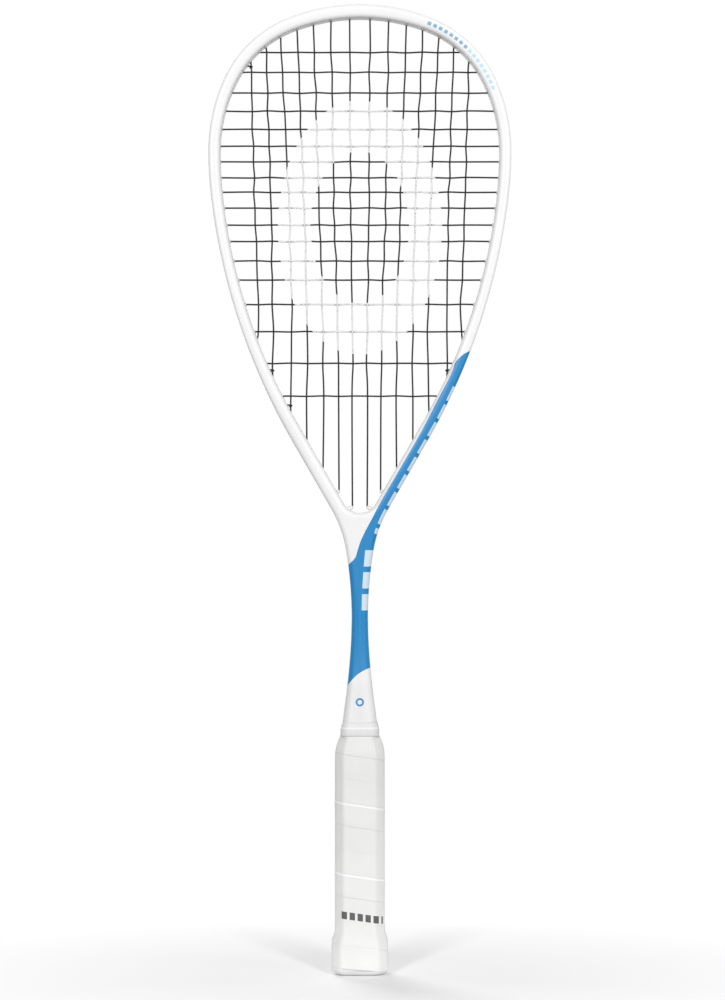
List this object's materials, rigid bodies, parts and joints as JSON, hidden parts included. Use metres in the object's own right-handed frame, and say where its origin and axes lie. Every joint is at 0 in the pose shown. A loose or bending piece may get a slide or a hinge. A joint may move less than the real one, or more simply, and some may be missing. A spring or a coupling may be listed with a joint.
{
  "type": "squash racket",
  "caption": "Strung squash racket with an open teardrop hoop, grooved rim, grommet strips, woven strings, slim shaft and taped eight-sided handle.",
  "frame": {"origin": "middle of the butt's flat end face", "axes": "+Z along the shaft from the butt to the crown, +X to the right across the hoop, front of the strings faces -Y"},
  "size_m": [0.2138, 0.035, 0.685],
  "materials": {
    "frame_lacquer": "gloss lacquer over carbon composite, white with one blue arm and shaft",
    "guard_plastic": "satin nylon",
    "grommet_plastic": "milky nylon",
    "string": "black multifilament with a soft coating",
    "foam": "moulded rigid foam",
    "cap_plastic": "satin moulded plastic",
    "grip": "soft synthetic leather tape",
    "staple_wire": "bright wire",
    "band_tape": "thin vinyl tape",
    "collar_rubber": "matte silicone rubber"
  },
  "bodies": {
    "root": {"frame": "frame_lacquer", "head_guard": "guard_plastic", "grommet_strip_left": "grommet_plastic", "grommet_strip_right": "grommet_plastic", "main_string": "string", "cross_string": "string", "handle_core": "foam", "butt_cap": "cap_plastic", "grip_tape": "grip", "grip_staple": "staple_wire", "finishing_tape": "band_tape", "collar": "collar_rubber"}
  },
  "joints": []
}
